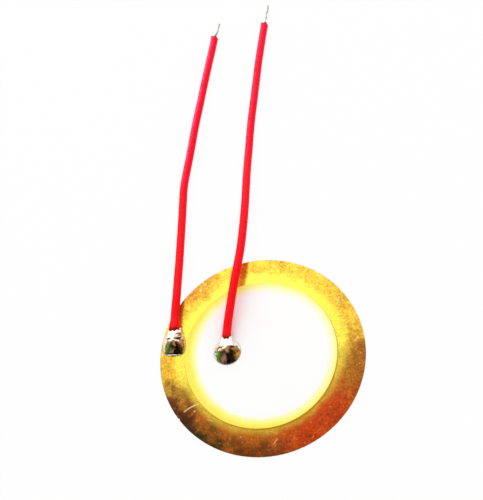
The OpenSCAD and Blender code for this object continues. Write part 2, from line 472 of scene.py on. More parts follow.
@dataclass(frozen=True)
class FiredCeramic(Finish):
    """Fired and lapped lead zirconate titanate: pale yellow and satin.

    A painted glow from the bright print whitens the margin towards the print. Its middle lies a
    little towards +X and +Y, and clouds 2 mm wide make it uneven. The marks of the lapping grit
    are finer than they are drawn, 0.07 mm wide, so that they show.

    Attributes:
        middle: The middle of the painted glow, x and y in millimetres.
        fading: Radii between which the painted glow fades out, from the print's edge on, in
            millimetres.
    """

    middle: Pair = (0.4, 0.2)
    fading: Pair = (8.8, 10.0)

    def surface(self, add: Adder) -> Node:
        """Adds the ceramic's nodes.

        Args:
            add: Adds a node to the material.

        Returns:
            The shader.
        """
        place = place_mm(add, self.middle)
        grain = {"Vector": place, "Scale": 0.45, "Detail": 4, "Roughness": 0.6}
        cloud = add("TexNoise", inputs=grain)
        # The painted glow: the margin is painted whiter towards the print
        out = ragged(add, radius_mm(add, place), cloud, self.fading, wobble=0.45, smooth=False)
        stops = ((0.0, "#ffffd6"), (0.35, "#ffffa4"), (0.75, "#fffa60"), (1.0, "#ffee40"))
        grit = add("TexNoise", inputs={"Vector": place, "Scale": 14.0, "Detail": 2})
        lapped = {"Strength": 0.2, "Distance": 0.004 * MM, "Height": grit}
        return add(
            "BsdfPrincipled",
            inputs={
                "Base Color": add("ValToRGB", inputs={0: out}, stops=stops),
                "Roughness": 0.5,
                "IOR": 1.6,
                "Normal": add("Bump", inputs=lapped),
            },
        )


@dataclass(frozen=True)
class SilverPrint(Finish):
    """Screen-printed and fired silver: satin white, with the screen's faint weave.

    Its edge is painted yellow, unevenly in clouds 2 mm wide, as the soft inner side of the
    painted glow round the print.

    Attributes:
        middle: The middle of the printed circle, x and y in millimetres.
        edge_yellowing: Radii between which the painted yellowing runs, up to its edge, in
            millimetres.
        threads_per_mm: The screen's threads on a millimetre.
    """

    middle: Pair = (0.25, 0.0)
    edge_yellowing: Pair = (8.15, 8.9)
    threads_per_mm: float = 6.0

    def surface(self, add: Adder) -> Node:
        """Adds the silver's nodes.

        Args:
            add: Adds a node to the material.

        Returns:
            The shader.
        """
        place = place_mm(add, self.middle)
        grain = {"Vector": place, "Scale": 0.5, "Detail": 5, "Roughness": 0.6}
        cloud = add("TexNoise", inputs=grain)
        # The print's edge yellows: the painted soft edge of the glow round the print
        out = ragged(add, radius_mm(add, place), cloud, self.edge_yellowing, wobble=0.35)
        stops = ((0.0, "#ffffff"), (0.55, "#fffff6"), (1.0, "#ffffd6"))
        screen = {"Vector": place, "Scale": self.threads_per_mm, "Randomness": 0.35}
        weave = add("TexVoronoi", {"feature": "F1"}, screen)
        woven = {"Strength": 0.15, "Distance": 0.006 * MM, "Height": weave}
        return add(
            "BsdfPrincipled",
            inputs={
                "Base Color": add("ValToRGB", inputs={0: out}, stops=stops),
                "Roughness": 0.55,
                "Normal": add("Bump", inputs=woven),
            },
        )


@dataclass(frozen=True)
class CuredEpoxy(Finish):
    """Cured epoxy squeezed out at the ceramic's foot: glossy and amber.

    A deeper amber is painted towards +X and -Y, as painted shade at the ceramic's foot on that
    side. Clouds about 1 mm wide make it uneven.

    Attributes:
        shade_way: The level way towards the painted shade, about 1 long.
        shade_span: How far along it the painted shade deepens the amber, from and to, in
            millimetres.
    """

    shade_way: Triple = (0.45, -0.9, 0)
    shade_span: Pair = (-2.0, 9.0)

    def surface(self, add: Adder) -> Node:
        """Adds the epoxy's nodes.

        Args:
            add: Adds a node to the material.

        Returns:
            The shader.
        """
        place = place_mm(add)
        flow = add("TexNoise", inputs={"Vector": place, "Scale": 0.8, "Detail": 3})
        # Deeper amber towards +X and -Y: painted shade at the ceramic's foot
        along = add("VectorMath", DOT, {0: place, 1: self.shade_way})
        painted_share = ragged(add, along, flow, self.shade_span, wobble=4.0, smooth=False)
        stops = ((0.0, "#f8de52"), (0.5, "#f0c040"), (1.0, "#d8962c"))
        amber = add("ValToRGB", inputs={0: painted_share}, stops=stops)
        glossy = {"Base Color": amber, "Roughness": 0.15, "IOR": 1.55}
        return add("BsdfPrincipled", inputs=glossy)


@dataclass(frozen=True)
class BrightSolder(Finish):
    """Tin-lead solder as it froze: a near mirror, very slightly crinkled every 0.6 mm.

    Rosin flux has run to the foot, away from the lead, and stays there as a thin brown edge.

    Attributes:
        metal: The solder's colour.
        flux: The flux's colour.
    """

    metal: str = "#efe9df"
    flux: str = "#7a4a14"

    def surface(self, add: Adder) -> Node:
        """Adds the solder's nodes.

        Args:
            add: Adds a node to the material.

        Returns:
            The shader.
        """
        grain = {"Vector": place_mm(add), "Scale": 1.6, "Detail": 3, "Distortion": 0.4}
        crinkle = add("TexNoise", inputs=grain)
        frozen = {"Strength": 0.7, "Distance": 0.05 * MM, "Height": crinkle}
        rosin = add("Attribute", {"attribute_name": "flux"}).outputs["Fac"]
        return add(
            "BsdfPrincipled",
            inputs={
                "Base Color": add("Mix", RGBA, {0: rosin, 6: self.metal, 7: self.flux}),
                "Metallic": add("Math", SUBTRACT, {0: 1.0, 1: rosin}),
                "Roughness": 0.04,
                "Normal": add("Bump", inputs=frozen),
            },
        )


@dataclass(frozen=True)
class ExtrudedPvc(Finish):
    """Extruded red PVC: saturated and semi-gloss, scorched brown where the iron caught it.

    It turns a little bluer towards the stripped ends. On the side towards -X lies a pink painted
    sheen, a painted highlight, in flecks about 0.2 mm wide and 0.5 mm long. Clouds about 1 mm
    wide make the bluer tone and the surface uneven.

    Attributes:
        red: The dye's colour.
        bluer: Its bluer colour towards the stripped ends.
        fading: Where along Y it begins to turn bluer and is bluest, in millimetres.
        painted_sheen: The painted sheen's colour, a painted highlight.
        scorched: The colour of scorched PVC.
    """

    red: str = "#ff0719"
    bluer: str = "#fa0836"
    fading: Pair = (16.0, 58.0)
    painted_sheen: str = "#ff6ea6"
    scorched: str = "#8c260e"

    def surface(self, add: Adder) -> Node:
        """Adds the PVC's nodes.

        Args:
            add: Adds a node to the material.

        Returns:
            The shader.
        """
        place = place_mm(add)
        cloud = add("TexNoise", inputs={"Vector": place, "Scale": 1.1, "Detail": 3})
        along = add("SeparateXYZ", inputs={0: place}).outputs["Y"]
        # A little bluer towards the stripped ends
        light = ragged(add, along, cloud, self.fading, wobble=10.0, smooth=False)
        # The painted sheen: a pink painted highlight on the side towards -X, in flecks
        drawn = add("VectorMath", MULTIPLY, {0: place, 1: (1, 0.35, 1)})
        fleck = add("TexNoise", inputs={"Vector": drawn, "Scale": 6.0, "Detail": 2})
        sheen_limits = {1: 0.42, 2: 0.6, 3: 0.15}  # painted sheen: faint everywhere, and stronger in flecks
        painted_share = add("MapRange", inputs={"Value": fleck, **sheen_limits})
        bloom = add("Attribute", {"attribute_name": "bloom"}).outputs["Fac"]
        sheen_share = add("Math", MULTIPLY, {0: bloom, 1: painted_share})
        scorch = add("Attribute", {"attribute_name": "scorch"}).outputs["Fac"]
        colour = self.red
        for share, over in ((light, self.bluer), (sheen_share, self.painted_sheen), (scorch, self.scorched)):
            colour = add("Mix", RGBA, {0: share, 6: colour, 7: over})
        uneven = {"Strength": 0.3, "Distance": 0.02 * MM, "Height": cloud}
        return add(
            "BsdfPrincipled",
            inputs={
                "Base Color": colour,
                "Roughness": 0.28,
                "IOR": 1.53,
                "Specular IOR Level": 0.08,
                "Normal": add("Bump", inputs=uneven),
            },
        )


@dataclass(frozen=True)
class TinnedCopper(Finish):
    """Drawn copper wire with a thin coat of tin: grey and bright, dulled every half millimetre."""

    def surface(self, add: Adder) -> Node:
        """Adds the wire's nodes.

        Args:
            add: Adds a node to the material.

        Returns:
            The shader.
        """
        dull = add("TexNoise", inputs={"Vector": place_mm(add), "Scale": 1.8, "Detail": 3})
        tin = add("ValToRGB", inputs={0: dull}, stops=((0.4, "#8d9388"), (0.6, "#d4d1c6")))
        tinned = {"Base Color": tin, "Metallic": 1.0, "Roughness": 0.22}
        return add("BsdfPrincipled", inputs=tinned)


# ---------------------------------------------------------------- mesh work


def alone(piece: Thing) -> None:
    """Selects one piece and nothing else.

    Args:
        piece: The piece, which becomes the active one.
    """
    for other in bpy.context.view_layer.objects:
        other.select_set(False)
    piece.select_set(True)
    bpy.context.view_layer.objects.active = piece


@contextmanager
def editing(piece: Thing) -> Iterator[None]:
    """Opens a piece in edit mode with everything in it selected, and closes it again.

    Args:
        piece: The piece to edit.

    Yields:
        Nothing. The piece is open until then.
    """
    alone(piece)
    bpy.ops.object.mode_set(mode="EDIT")
    bpy.ops.mesh.select_mode(type="FACE")
    bpy.ops.mesh.select_all(action="SELECT")
    yield
    bpy.ops.object.mode_set(mode="OBJECT")


def cut_level(place: Vector | Triple) -> None:
    """Cuts the open piece level at a place, drops what lies under it and closes the cut."""
    bpy.ops.mesh.bisect(
        plane_co=place, plane_no=UP, clear_inner=True, use_fill=True, threshold=CUT_THRESHOLD
    )


def pick_underside(piece: Thing) -> None:
    """Selects only the faces that look straight down.

    Args:
        piece: The piece that is open in edit mode.
    """
    bpy.ops.mesh.select_all(action="DESELECT")
    mesh = bmesh.from_edit_mesh(piece.data)
    for face in mesh.faces:
        face.select_set(face.normal.z < -0.99)
    mesh.select_flush_mode()
    bmesh.update_edit_mesh(piece.data)


def modify(piece: Thing, name: str, kind: str, settings: dict[str, object]) -> None:
    """Adds one modifier.

    Args:
        piece: The piece that takes it.
        name: The modifier's name.
        kind: Its type.
        settings: Its own properties.
    """
    made = piece.modifiers.new(name, kind)
    for key, value in settings.items():
        setattr(made, key, value)


def apply_all(piece: Thing) -> None:
    """Applies every modifier of a piece, in order.

    Args:
        piece: The piece.
    """
    alone(piece)
    for modifier in list(piece.modifiers):
        bpy.ops.object.modifier_apply(modifier=modifier.name)


def settle(piece: Thing) -> None:
    """Moves a piece's place into its mesh, so that the object sits at the origin."""
    alone(piece)
    bpy.ops.object.transform_apply(location=True, rotation=True, scale=True)


def clamp(share: float) -> float:
    """Keeps a share between 0 and 1."""
    return max(0.0, min(1.0, share))


def write_shares(piece: Thing, name: str, shares: list[float]) -> None:
    """Stores a share for each vertex, under the name by which a finish reads it."""
    piece.data.attributes.new(name, "FLOAT", "POINT").data.foreach_set("value", shares)


def dress(piece: Thing, material: Material) -> None:
    """Gives a piece its finish and reports it.

    Args:
        piece: The piece.
        material: Its finish.
    """
    piece.data.materials.clear()
    piece.data.materials.append(material)
    LOG.info("%s: %s, %d faces", piece.name, material.name, len(piece.data.polygons))


def stand_in(piece: Thing, material: Material, node: str) -> None:
    """Dresses a modelled piece and puts it in place of its CAD node.

    Args:
        piece: The modelled piece.
        material: Its finish.
        node: The CAD node that it stands for.
    """
    dress(piece, material)
    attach(piece, BODY)
    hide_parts(node)


# ---------------------------------------------------------------- the leads


def smooth_path(points: list[Vector], step: float) -> list[Vector]:
    """Runs one smooth curve through a route's points.

    Args:
        points: The route's points, in metres.
        step: The spacing of the curve's points, in metres.

    Returns:
        The curve's points. It passes through each point of the route.
    """
    padded = [2 * points[0] - points[1], *points, 2 * points[-1] - points[-2]]
    made = []
    for before, start, end, after in zip(padded, padded[1:], padded[2:], padded[3:]):
        count = max(1, math.ceil((end - start).length / step))
        for k in range(count):
            t = k / count
            made.append(
                0.5
                * (
                    2 * start
                    + (end - before) * t
                    + (2 * before - 5 * start + 4 * end - after) * t**2
                    + (3 * start - before - 3 * end + after) * t**3
                )
            )
    made.append(points[-1].copy())
    return made


def path_length(path: list[Vector]) -> float:
    """Measures a path, in metres."""
    return sum((b - a).length for a, b in zip(path, path[1:]))


def sides(path: list[Vector]) -> list[tuple[Vector, Vector]]:
    """Gives the directions across a path at each of its points.

    Args:
        path: The path's points.

    Returns:
        For each point, the unit vectors to its level side and its upper side.
    """
    made = []
    for i in range(len(path)):
        ahead = (path[min(i + 1, len(path) - 1)] - path[max(i - 1, 0)]).normalized()
        side = ahead.cross(Vector(UP)).normalized()
        made.append((side, side.cross(ahead)))
    return made


def sweep(name: str, path: list[Vector], radius: float, resolution: int, caps: bool) -> Thing:
    """Sweeps a round rod along a path.

    Args:
        name: The new piece's name.
        path: The points that it follows, in metres.
        radius: Its radius, in metres.
        resolution: How finely its section is drawn: 4 + 2 x resolution sides.
        caps: Whether its ends are closed.

    Returns:
        The rod as a mesh at the origin.
    """
    curve = bpy.data.curves.new(name, "CURVE")
    curve.dimensions = "3D"
    curve.bevel_depth = radius
    curve.bevel_resolution = resolution
    curve.use_fill_caps = caps
    spline = curve.splines.new("POLY")
    spline.points.add(len(path) - 1)
    for point, place in zip(spline.points, path):
        point.co = (*place, 1.0)
    rod = bpy.data.objects.new(name, curve)
    bpy.context.scene.collection.objects.link(rod)
    alone(rod)
    bpy.ops.object.convert(target="MESH")
    bpy.ops.object.shade_smooth()
    return rod


@dataclass(frozen=True)
class Joint:
    """Where a lead is soldered on, read from the frame.

    Attributes:
        node: The solder joint's CAD node.
        carrier: The CAD node whose upper face carries the joint.
        stretch: Extra length of the joint along its lead, in metres.
    """

    node: str
    carrier: str
    stretch: float

    @property
    def foot_radius(self) -> float:
        """Half the width of the joint's foot."""
        low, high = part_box(self.node)
        return (high.x - low.x) / 2

    @property
    def foot(self) -> Vector:
        """The middle of the joint's foot."""
        low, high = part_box(self.node)
        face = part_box(self.carrier)[1].z
        return Vector(((low.x + high.x) / 2, low.y + self.foot_radius + self.stretch / 2, face))

    @property
    def height(self) -> float:
        """The joint's height over the face that carries it."""
        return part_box(self.node)[1].z - self.foot.z


@dataclass(frozen=True)
class SolderBead:
    """A solder joint as it froze: a low cap, drawn out to its lead.

    The cap and the neck are modelled apart, fused by a voxel remesh, and smoothed, which
    leaves the hollow fillet that surface tension leaves between them.

    Attributes:
        joint: The joint that it stands for.
        neck_end: Where the lead's sleeve begins, in metres.
        squareness: 0 for a round cap, 1 for a box.
        lean: How far the cap leans towards its lead, in degrees.
        neck_radius: Radius at which the solder meets the sleeve, in metres.
        flux: How brown the flux at the foot's near side is, from 0 to 1.
        cut: How much of the round form lies under the face, from 0 to 1. More makes a flatter
            cap, whose sides stand less steeply.
        neck_width: How many times wider than high the neck is.
        voxel: Size of the remesh's cells, in metres.
        ripple: Height of the uneven places left by freezing, in metres.
        flux_height: How far up the foot the flux reaches, in metres.
    """

    joint: Joint
    neck_end: Vector
    squareness: float
    lean: float
    neck_radius: float
    flux: float
    cut: float = 0.88
    neck_width: float = 2.7
    voxel: float = 0.05 * MM
    ripple: float = 0.05 * MM
    flux_height: float = 0.16 * MM

    def build(self, solder: Material) -> None:
        """Models the bead, dresses it and puts it in place of its CAD node.

        Args:
            solder: The bead's finish.
        """
        bead, neck = self.cap(), self.neck()
        alone(bead)
        neck.select_set(True)
        bpy.ops.object.join()
        bead.name = f"{self.joint.node}_bead"
        bead.location = self.joint.foot
        settle(bead)
        modify(bead, "fused", "REMESH", {"mode": "VOXEL", "voxel_size": self.voxel})
        modify(bead, "tension", "SMOOTH", {"factor": 0.5, "iterations": 30})
        apply_all(bead)
        with editing(bead):
            cut_level(self.joint.foot)
        self.freeze(bead)
        alone(bead)
        bpy.ops.object.shade_smooth_by_angle(angle=math.radians(50))
        stand_in(bead, solder, self.joint.node)

    def cap(self) -> Thing:
        """Models the cap.

        Returns:
            The cap, with the middle of its foot at the origin.
        """
        width = self.joint.foot_radius
        bpy.ops.object.select_all(action="DESELECT")
        bpy.ops.mesh.primitive_cube_add(size=2)
        made = bpy.context.active_object
        with editing(made):
            bpy.ops.mesh.subdivide(number_cuts=39)
        ball = {"cast_type": "SPHERE", "factor": 1 - self.squareness, "radius": 0, "size": 1}
        modify(made, "rounding", "CAST", ball)
        modify(made, "softened", "SMOOTH", {"factor": 0.5, "iterations": 60})
        apply_all(made)
        top = max(v.co.z for v in made.data.vertices)
        level = self.cut * top
        near = [v.co for v in made.data.vertices if abs(v.co.z - level) < 0.03 * top]
        reach = [max(c[axis] for c in near) for axis in (0, 1)]
        with editing(made):
            bpy.ops.transform.translate(value=(0, 0, -level))
            bpy.ops.transform.resize(
                value=(
                    width / reach[0],
                    (width + self.joint.stretch / 2) / reach[1],
                    self.joint.height / (top - level),
                ),
                center_override=ORIGIN,
            )
            bpy.ops.transform.rotate(
                value=math.radians(self.lean), orient_axis="X", center_override=ORIGIN
            )
            cut_level(ORIGIN)
        places = [v.co for v in made.data.vertices]
        low = [min(c[axis] for c in places) for axis in range(3)]
        high = [max(c[axis] for c in places) for axis in range(3)]
        with editing(made):
            bpy.ops.transform.translate(
                value=(-(low[0] + high[0]) / 2, -(low[1] + high[1]) / 2, 0)
            )
            bpy.ops.transform.resize(
                value=(
                    2 * width / (high[0] - low[0]),
                    (2 * width + self.joint.stretch) / (high[1] - low[1]),
                    self.joint.height / high[2],
                ),
                center_override=ORIGIN,
            )
            pick_underside(made)
            # Carried on under the face, so that the remesh doesn't round the foot's edge
            bpy.ops.mesh.extrude_region_move(
                TRANSFORM_OT_translate={"value": (0, 0, -3 * self.voxel)}
            )
        return made

    def neck(self) -> Thing:
        """Models the neck, from inside the cap to the sleeve.

        Returns:
            The neck, with the middle of the joint's foot at the origin.
        """
        aim = self.neck_end - self.joint.foot
        start = Vector((0, 0.2 * aim.y, 0.58 * self.joint.height))  # well inside the cap
        run = aim - start
        bpy.ops.object.select_all(action="DESELECT")
        bpy.ops.mesh.primitive_cone_add(
            vertices=32,
            radius1=0.42 * self.joint.height,
            radius2=self.neck_radius,
            depth=run.length,
            location=start + run / 2,
            rotation=run.to_track_quat("Z", "Y").to_euler(),
        )
        made = bpy.context.active_object
        settle(made)
        with editing(made):
            bpy.ops.transform.resize(value=(self.neck_width, 1, 1), center_override=ORIGIN)
        return made

    def freeze(self, bead: Thing) -> None:
        """Leaves the surface slightly uneven, as solder freezes, and flat underneath.

        Args:
            bead: The bead, in its place.
        """
        clouds = bpy.data.textures.new("frozen_flow", "CLOUDS")
        clouds.noise_scale = 0.9 * MM
        flow = {"texture": clouds, "texture_coords": "LOCAL", "strength": self.ripple}
        modify(bead, "uneven", "DISPLACE", {**flow, "mid_level": 0.5})
        apply_all(bead)
        foot = self.joint.foot
        reach = self.joint.foot_radius
        shares = []
        for vertex in bead.data.vertices:
            vertex.co.z = max(vertex.co.z, foot.z)
            x, y, z = (vertex.co[axis] - foot[axis] for axis in range(3))
            low = 1.4 - 1.4 * z / self.flux_height  # full at the foot, and out at this height
            ran = 0.6 + (0.5 * x - y) / reach  # full on the near side, and out past the middle
            shares.append(self.flux * clamp(low) * clamp(ran))
        write_shares(bead, "flux", shares)


@dataclass(frozen=True)
class SleeveEnd:
    """How the sleeve's PVC ends: swollen, ragged and scorched, or nipped by the stripper.

    Attributes:
        swell: How much wider the very end is than the sleeve, as a share.
        swell_length: Length over which it widens, in metres.
        teeth: How far the edge runs past the nominal end, in millimetres, at even steps round
            the sleeve from its level side over its top.
        scorch: How brown the edge is, from 0 to 1.
        scorch_length: How far the browning reaches, in metres.
        tooth_length: Length over which the teeth are drawn out, in metres.
        zone: How deep the shaping reaches, and how far from the end's middle, in metres.
    """

    swell: float
    swell_length: float
    teeth: tuple[float, ...]
    scorch: float
    scorch_length: float
    tooth_length: float = 0.7 * MM
    zone: Pair = (3 * MM, 4 * MM)

    def tooth(self, turn: float) -> float:
        """Gives how far the edge runs past the end.

        Args:
            turn: The place round the sleeve, as a share of a turn.

        Returns:
            The distance, in metres.
        """
        place = (turn % 1) * len(self.teeth)
        index = int(place)
        here, after = self.teeth[index], self.teeth[(index + 1) % len(self.teeth)]
        return (here + (after - here) * (place - index)) * MM

    def shape(
        self, sleeve: Thing, end: Vector, inward: Vector, ground: float, scorch: list[float]
    ) -> None:
        """Moves the sleeve's vertices near one end and notes how scorched they are.

        Args:
            sleeve: The sleeve, with its wall.
            end: The middle of its end.
            inward: The unit vector from the end into the sleeve.
            ground: The level of what lies under it, which it may press flat on but not enter.
            scorch: For each vertex, how scorched it is, which this fills in.
        """
        side = inward.cross(Vector(UP)).normalized()
        up = side.cross(inward)
        for index, vertex in enumerate(sleeve.data.vertices):
            off = vertex.co - end
            depth = off.dot(inward)
            if depth > self.zone[0] or off.length > self.zone[1]:
                continue
            out = off - depth * inward
            tooth = self.tooth(math.atan2(out.dot(up), out.dot(side)) / (2 * math.pi))
            near = max(0.0, 1 - depth / self.swell_length) ** 1.5  # widens like a bell
            pulled = tooth * max(0.0, 1 - depth / self.tooth_length) ** 2
            vertex.co = end + (depth - pulled) * inward + out * (1 + self.swell * near)
            vertex.co.z = max(vertex.co.z, ground)
            # It follows the teeth only in part, and is strongest at the very edge
            edge = max(0.0, 1 - (depth + 0.4 * tooth) / self.scorch_length)
            scorch[index] = max(scorch[index], min(1.0, self.scorch * edge * 1.3))


@dataclass(frozen=True)
class Lead:
    """A red stranded lead: a PVC sleeve over seven tinned strands, stripped at its far end.

    Attributes:
        name: The lead's name, as its CAD nodes have it.
        joint: The joint that it is soldered into.
        route: The sleeve's route from its joint: x and y in millimetres, and its lift from 0,
            on the floor, to 1, at the height at which it enters the joint.
        tip: The bare conductor's route past the sleeve, in the same form.
        joint_end: How the sleeve ends at its joint.
        far_end: How it ends where it was stripped.
        bloom: How strong the painted sheen on the side towards -X is, from 0 to 1.
        sheen_from: From where along Y the painted sheen shows, and from where fully, in metres.
        sleeve_radius: The sleeve's outer radius, in metres.
        bore: The radius of its hole, in metres.
        entry_gap: Clearance under the sleeve where it enters its joint, in metres.
        strand_radius: One strand's radius, in metres.
        pitch: Distance from the middle strand to the others, in metres.
        lay: Length in which the strands turn once, in metres.
        buried: Length of conductor past the middle of the joint, in metres.
    """

    name: str
    joint: Joint
    route: tuple[Triple, ...]
    tip: tuple[Triple, ...]
    joint_end: SleeveEnd
    far_end: SleeveEnd
    bloom: float
    sheen_from: Pair = (22 * MM, 36 * MM)
    sleeve_radius: float = 0.575 * MM
    bore: float = 0.14 * MM
    entry_gap: float = 0.1 * MM
    strand_radius: float = 0.04 * MM
    pitch: float = 0.088 * MM
    lay: float = 5.5 * MM
    buried: float = 0.5 * MM

    def points(self, route: tuple[Triple, ...]) -> list[Vector]:
        """Places a route's points in the frame.

        Args:
            route: Points in the form of the route field.

        Returns:
            The points, in metres.
        """
        foot, rest = self.joint.foot, self.sleeve_radius
        entry = foot.z + rest + self.entry_gap
        return [
            Vector((foot.x + x * MM, foot.y + y * MM, rest + lift * (entry - rest)))
            for x, y, lift in route
        ]

    def rested(self, path: list[Vector]) -> list[Vector]:
        """Keeps a path high enough for the sleeve to lie on the floor."""
        return [Vector((p.x, p.y, max(p.z, self.sleeve_radius))) for p in path]

    def painted_sheen(self, place: Vector, normal: Vector) -> float:
        """Gives how strong the painted sheen is at a place on the sleeve.

        Args:
            place: The place, in metres.
            normal: The unit vector out of the surface there.

        Returns:
            The strength, from 0 to 1.
        """
        begins, full = self.sheen_from
        along = (place.y - begins) / (full - begins)
        turned = (-normal.x + 0.1) / 0.5  # from just past the top, and full 24 degrees down
        return self.bloom * clamp(along) * clamp(turned)

    def sleeve(self) -> tuple[Thing, list[Vector]]:
        """Makes the PVC sleeve.

        Returns:
            The sleeve, and the path that it follows.
        """
        path = self.rested(smooth_path(self.points(self.route), step=0.2 * MM))
        made = sweep(f"{self.name}_sleeve", path, self.sleeve_radius, resolution=10, caps=False)
        wall = {"thickness": self.sleeve_radius - self.bore, "offset": -1}
        modify(made, "wall", "SOLIDIFY", wall)
        apply_all(made)
        scorch = [0.0] * len(made.data.vertices)
        carrier = self.joint.foot.z + 0.01 * MM  # a clearance over its face
        # The directions into the sleeve are taken over 0.8 mm of the path
        self.joint_end.shape(made, path[0], (path[4] - path[0]).normalized(), carrier, scorch)
        self.far_end.shape(made, path[-1], (path[-5] - path[-1]).normalized(), 0.0, scorch)
        write_shares(made, "scorch", scorch)
        # The painted sheen's strength at each vertex, a painted highlight on the -X side
        write_shares(made, "bloom", [self.painted_sheen(v.co, v.normal) for v in made.data.vertices])
        return made, path

    def strands(self) -> list[Thing]:
        """Makes the seven strands, one straight in the middle and six laid round it.

        Returns:
            The strands.
        """
        route = self.points(self.route)
        inside = (route[0].xy - self.joint.foot.xy).length + self.buried
        start = route[0] - (route[1] - route[0]).normalized() * inside
        whole = [start, *route, *self.points(self.tip)]
        path = self.rested(smooth_path(whole, step=0.3 * MM))
        made = []
        for number in range(1, STRANDS + 1):
            reach = 0 if number == 1 else self.pitch
            travelled = 0.0
            wound = []
            for before, place, (side, up) in zip([path[0], *path], path, sides(path)):
                travelled += (place - before).length
                turn = 2 * math.pi * (travelled / self.lay + number / (STRANDS - 1))
                wound.append(place + reach * (side * math.cos(turn) + up * math.sin(turn)))
            name = f"{self.name}_wire_{number}"
            made.append(sweep(name, wound, self.strand_radius, resolution=2, caps=True))
        return made

    def build(self, pvc: Material, copper: Material) -> None:
        """Args:
            pvc: The sleeve's finish.
            copper: The strands' finish.
        """
        sleeve, path = self.sleeve()
        stand_in(sleeve, pvc, f"{self.name}_insulation")
        strands = self.strands()
        for number, strand in enumerate(strands, 1):
            stand_in(strand, copper, f"{self.name}_strand_{number}")
        LOG.info("%s: sleeve %.1f mm long", self.name, path_length(path) / MM)


# ---------------------------------------------------------------- the studio


def direction(side: float, height: float) -> Vector:
    """Gives the unit vector to a place over the table.

    Args:
        side: Degrees from +Y towards -X.
        height: Degrees over the table.

    Returns:
        The unit vector.
    """
    turn, rise = math.radians(side), math.radians(height)
    flat = math.cos(rise)
    return Vector((-flat * math.sin(turn), flat * math.cos(turn), math.sin(rise)))


def shown_rays(add: Adder) -> Node:
    """Tells the rays apart that see the background as white.

    Args:
        add: Adds a node to the material or the world.

    Returns:
        The node that puts out 1 for camera, mirror and glass rays.
    """
    rays = add("LightPath").outputs
    first = add("Math", MAXIMUM, {0: rays["Is Camera Ray"], 1: rays["Is Glossy Ray"]})
    return add("Math", MAXIMUM, {0: first, 1: rays["Is Transmission Ray"]})


@dataclass(frozen=True)
class Camera:
    """The camera.

    Attributes:
        place: Where it stands, in metres.
        heading: The way it faces, in degrees from +Y towards -X.
        tilt: How far it looks down, in degrees.
        roll: How far it is turned about its own axis, in degrees.
        lens: Focal length on a 36 mm long side, in millimetres.
    """

    place: Triple = (17.8687 * MM, -41.1823 * MM, 109.1271 * MM)
    heading: float = 20.042
    tilt: float = 61.088
    roll: float = -21.992
    lens: float = 64.878

    def build(self) -> None:
        """Makes the camera and sets it as the scene's."""
        data = bpy.data.cameras.new("camera")
        data.lens = self.lens
        data.sensor_width = 36
        data.clip_start, data.clip_end = 5 * MM, 20
        camera = bpy.data.objects.new("camera", data)
        bpy.context.scene.collection.objects.link(camera)
        turn = Matrix()
        for angle, axis in ((self.heading, "Z"), (90 - self.tilt, "X"), (self.roll, "Z")):
            turn = turn @ Matrix.Rotation(math.radians(angle), 4, axis)
        camera.matrix_world = Matrix.Translation(self.place) @ turn
        bpy.context.scene.camera = camera


@dataclass(frozen=True)
class WhiteTable(Finish):
    """A matt white table top that gives off most of its own white.

    Attributes:
        shine: How much of its white is its own.
    """

    shine: float = 0.93

    def surface(self, add: Adder) -> Node:
        """Adds the table's nodes.

        Args:
            add: Adds a node to the material.

        Returns:
            The shader.
        """
        lit = add("BsdfDiffuse", inputs={"Color": "#f8f8f8"})
        glow = add("Emission", inputs={"Color": "#ffffff", "Strength": 1.0})
        share = add("Math", MULTIPLY, {0: shown_rays(add), 1: self.shine})
        return add("MixShader", inputs={0: share, 1: lit, 2: glow})


